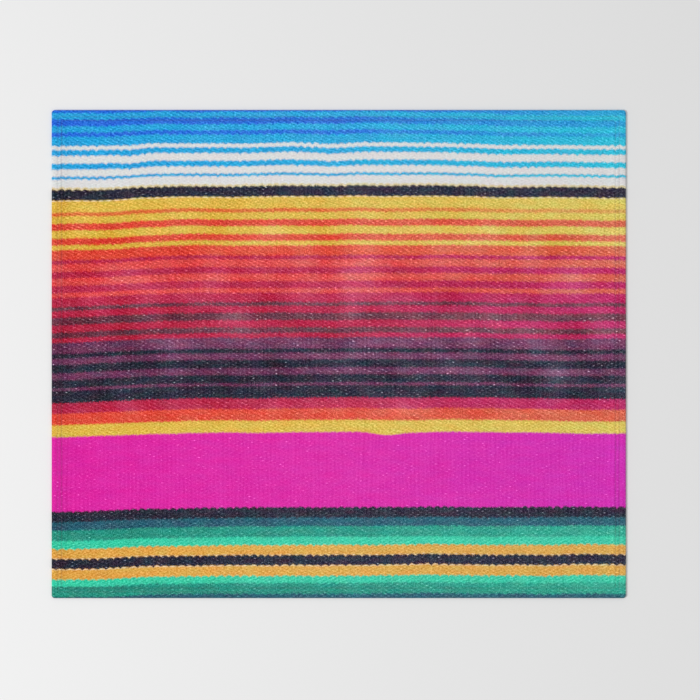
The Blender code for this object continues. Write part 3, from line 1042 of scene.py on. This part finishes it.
pucker_place = add(relief, "ShaderNodeVectorMath", {0: place, 1: sizes["Pucker pitch"]}, operation="DIVIDE")
pucker_noise = add(relief, "ShaderNodeTexNoise", {"Vector": pucker_place, "Scale": 1.0, "Detail": 1.0})
pucker_down = add(relief, "ShaderNodeMath", {
    0: add(relief, "ShaderNodeMath", {0: pucker_noise, 1: rows_near}, operation="MULTIPLY"),
    1: sizes["Pucker depth"],
}, operation="MULTIPLY")
slack_place = add(relief, "ShaderNodeVectorMath", {0: place, 1: sizes["Slack pitch"]}, operation="DIVIDE")
slack_noise = add(relief, "ShaderNodeTexNoise", {"Vector": slack_place, "Scale": 1.0, "Detail": 1.0})
slack_up = add(relief, "ShaderNodeMath", {0: slack_noise, 1: sizes["Slack height"]}, operation="MULTIPLY")
moved_up = add(relief, "ShaderNodeMath", {0: slack_up, 1: pucker_down}, operation="SUBTRACT")
facing = add(relief, "ShaderNodeSeparateXYZ", {0: add(relief, "GeometryNodeInputNormal")}, output="Z")
on_top = add(relief, "FunctionNodeCompare", {0: facing, 1: 0.3}, operation="GREATER_THAN", data_type="FLOAT")
shaped = add(relief, "GeometryNodeSetPosition", {
    "Geometry": sizes["Geometry"],
    "Selection": on_top,
    "Offset": add(relief, "ShaderNodeCombineXYZ", {"Z": moved_up}),
})
end_tree(relief, shaped, cloth_paint)
grow(cloth, relief, {
    "Width": WIDTH, "Height": HEIGHT, "Outer row": OUTER_ROW * MM, "Inner row": INNER_ROW * MM,
    "Row width": 0.0028, "Pucker pitch": 0.014, "Pucker depth": 0.0011, "Slack height": 0.0009,
    "Slack pitch": 0.13,
})
top_heights = [vertex.co.z for vertex in cloth.data.vertices]
print("cloth up to", round(max(top_heights) / MM, 2), "mm high")

# %% [markdown]
# ## The turned layers
#
# Under each side lie the two layers that were turned in. They are hardly seen, but they fill the hem and show when
# the blanket is looked at from below. Each is a loft: one closed section carried along its side and cut at 45
# degrees at both ends, as a sewer mitres a corner. The turned edge wavers a little, since it was folded by hand.

# %% The turned hems
HEM_STEPS = 120
EDGE_STEPS = 5
HEM_WAVER = 0.0006
THREAD = 0.00045
UNDERSIDE = THREAD / 2

Side = namedtuple("Side", "node outward along reach breadth")
SIDES = (
    Side("hem_right", (1, 0), (0, 1), HEIGHT / 2, WIDTH / 2),
    Side("hem_top", (0, 1), (-1, 0), WIDTH / 2, HEIGHT / 2),
    Side("hem_left", (-1, 0), (0, -1), HEIGHT / 2, WIDTH / 2),
    Side("hem_bottom", (0, -1), (1, 0), WIDTH / 2, HEIGHT / 2),
)


def hem_section():
    """The two turned layers as a closed outline of (distance, height)."""
    start = FOLD_RADIUS + GAP
    top_at_edge = face_height(HEM_EDGE) - CLOTH - GAP
    layer_radius = (top_at_edge - UNDERSIDE) / 4
    section = [(start, UNDERSIDE)]
    for layer in (0, 1):
        for step in range(layer, EDGE_STEPS + 1):
            angle = pi * (step / EDGE_STEPS - 0.5)
            section.append((HEM_EDGE + layer_radius * cos(angle),
                            UNDERSIDE + layer_radius * (2 * layer + 1 + sin(angle))))
    for mm in (27, 25.2, 23.5, 20, 17, 14, 10, 6):
        section.append((mm * MM, face_height(mm * MM) - CLOTH - GAP))
    section.append((start, face_height(start) - CLOTH - GAP))
    return section


def make_hem(side):
    """One side's turned layers, mitred, with each point's place on the flat cloth."""
    loft = bmesh.new()
    layer = loft.verts.layers.float_vector.new("flat_place")
    section = hem_section()
    stations = []
    for step in range(HEM_STEPS + 1):
        share = 2 * step / HEM_STEPS - 1
        waver = HEM_WAVER * sin(11 * share) * sin(37 * share) * (1 - share ** 8)
        points = []
        for distance, height in section:
            wavered = distance + waver * (distance - FOLD_RADIUS) / HEM_EDGE
            along = share * (side.reach - wavered - CORNER_RADIUS * (1 - sqrt(0.5)) - GAP)
            out = side.breadth - wavered
            point = loft.verts.new((
                side.outward[0] * out + side.along[0] * along,
                side.outward[1] * out + side.along[1] * along,
                height,
            ))
            flat_out = side.breadth + wavered + (pi - 2) * FOLD_RADIUS
            point[layer] = (
                side.outward[0] * flat_out + side.along[0] * along,
                side.outward[1] * flat_out + side.along[1] * along,
                0.0,
            )
            points.append(point)
        stations.append(points)
    for before, after in zip(stations, stations[1:]):
        for index in range(len(section)):
            loft.faces.new((before[index - 1], before[index], after[index], after[index - 1]))
    loft.faces.new(stations[0])
    loft.faces.new(stations[-1])
    bmesh.ops.recalc_face_normals(loft, faces=loft.faces)
    mesh = bpy.data.meshes.new(side.node + "_cloth")
    loft.to_mesh(mesh)
    loft.free()
    mesh.shade_smooth()
    mesh.set_sharp_from_angle(angle=pi / 4)
    mesh.materials.append(cloth_paint)
    hem = bpy.data.objects.new(side.node + "_cloth", mesh)
    scene.collection.objects.link(hem)
    return hem


hems = [make_hem(side) for side in SIDES]
print("turned hems:", ", ".join(hem.name for hem in hems))

# %% [markdown]
# ## Twin rows of stitching
#
# Two rows of lockstitch hold the hem, 17 and 27 mm in from the fold. A lockstitch shows the same on both faces:
# short grains of thread, each dipping into the cloth at both ends. Four thousand of them are a job for Geometry
# Nodes. A rectangle curve with filleted corners is cut into stitch lengths, each point is dropped straight onto
# the cloth with a raycast, and one low grain of thread is placed there along the seam. The thread is a dusty
# mauve, neither dark nor light, as a sewer would choose for a many-coloured cloth: it sinks into nearly every
# stripe.

# %% The thread's material
THREAD_COLOUR = "78607A"
TWIST = 0.0007

thread_paint = bpy.data.materials.new("spun polyester sewing thread")
thread_paint.use_nodes = True
ply = thread_paint.node_tree
thread_shader = ply.nodes["Principled BSDF"]
object_place = add(ply, "ShaderNodeTexCoord", output="Object")
twist = add(ply, "ShaderNodeTexWave", {"Vector": object_place, "Scale": 1 / TWIST / 20, "Distortion": 1.5},
            bands_direction="DIAGONAL")
thread_hex = linear(THREAD_COLOUR)
thread_tone = add(ply, "ShaderNodeMix", {
    0: twist,
    6: (*(value * 0.75 for value in thread_hex), 1.0),
    7: (*(value * 1.25 for value in thread_hex), 1.0),
}, output=2, data_type="RGBA")
ply.links.new(thread_tone, thread_shader.inputs["Base Color"])
thread_shader.inputs["Roughness"].default_value = 0.6
thread_shader.inputs["Specular IOR Level"].default_value = 0.3
print("thread", THREAD / MM, "mm thick")

# %% Sew the rows
sewing, parts = start_tree("twin rows of lockstitch", {
    "Cloth": "Object", "Width": "Float", "Height": "Float", "Outer row": "Float", "Inner row": "Float",
    "Corner": "Float", "Stitch length": "Float", "Thread": "Float", "From height": "Float", "Cast": "Vector",
})
onto = add(sewing, "GeometryNodeObjectInfo", {"Object": parts["Cloth"]}, output="Geometry",
           transform_space="ORIGINAL")
grain_mesh = add(sewing, "GeometryNodeMeshUVSphere", {"Segments": 5, "Rings": 4, "Radius": 0.5})
grain_size = add(sewing, "ShaderNodeCombineXYZ", {
    "X": parts["Thread"],
    "Y": parts["Thread"],
    "Z": add(sewing, "ShaderNodeMath", {0: parts["Stitch length"], 1: 0.82}, operation="MULTIPLY"),
})
row_curves = []
for row_name in ("Outer row", "Inner row"):
    both_margins = add(sewing, "ShaderNodeMath", {0: parts[row_name], 1: 2.0}, operation="MULTIPLY")
    rectangle = add(sewing, "GeometryNodeCurvePrimitiveQuadrilateral", {
        "Width": add(sewing, "ShaderNodeMath", {0: parts["Width"], 1: both_margins}, operation="SUBTRACT"),
        "Height": add(sewing, "ShaderNodeMath", {0: parts["Height"], 1: both_margins}, operation="SUBTRACT"),
    })
    rounded = add(sewing, "GeometryNodeFilletCurve", {"Curve": rectangle, "Count": 4, "Radius": parts["Corner"]},
                  mode="POLY")
    row_curves.append(add(sewing, "GeometryNodeResampleCurve", {"Curve": rounded, "Length": parts["Stitch length"]},
                          mode="LENGTH"))
both_rows = add(sewing, "GeometryNodeJoinGeometry", {0: row_curves[0]})
sewing.links.new(row_curves[1], both_rows.node.inputs[0])
lifted = add(sewing, "GeometryNodeSetPosition", {
    "Geometry": both_rows,
    "Offset": add(sewing, "ShaderNodeCombineXYZ", {"Z": parts["From height"]}),
})
landing = add(sewing, "GeometryNodeRaycast", {
    "Target Geometry": onto, "Ray Direction": parts["Cast"], "Ray Length": 0.2,
}, output="Hit Position")
facing_along = add(sewing, "FunctionNodeAlignRotationToVector", {"Vector": add(sewing, "GeometryNodeInputTangent")},
                   axis="Z")
stitches = add(sewing, "GeometryNodeInstanceOnPoints", {
    "Points": lifted, "Selection": landing.node.outputs["Is Hit"], "Instance": grain_mesh,
    "Rotation": facing_along, "Scale": grain_size,
})
landed = add(sewing, "GeometryNodeSetPosition", {"Geometry": stitches, "Position": landing})
end_tree(sewing, landed, thread_paint)


def sew(name, onto_object, from_height, cast):
    """Both rows of stitches on one face of the cloth, as a plain mesh."""
    piece = bpy.data.objects.new(name, bpy.data.meshes.new(name))
    scene.collection.objects.link(piece)
    return grow(piece, sewing, {
        "Cloth": onto_object, "Width": WIDTH, "Height": HEIGHT, "Outer row": OUTER_ROW * MM,
        "Inner row": INNER_ROW * MM, "Corner": CORNER_RADIUS, "Stitch length": 0.0048, "Thread": THREAD,
        "From height": from_height, "Cast": cast,
    })


stitching = [sew("face_stitching", cloth, 0.05, (0.0, 0.0, -1.0))]
for side, hem in zip(SIDES, hems):
    stitching.append(sew(side.node + "_stitching", hem, -0.05, (0.0, 0.0, 1.0)))
for piece in stitching:
    print(piece.name, len(piece.data.polygons), "faces")

# %% [markdown]
# ## Fix everything to the frame
#
# The blanket has one rigid body, so every piece rides on it. Each cloth piece replaces its plain solid, which is
# hidden.

# %% Ride and replace
for piece in [cloth, *hems, *stitching]:
    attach(piece, "root")
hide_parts("panel")
for side, hem in zip(SIDES, hems):
    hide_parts(side.node)
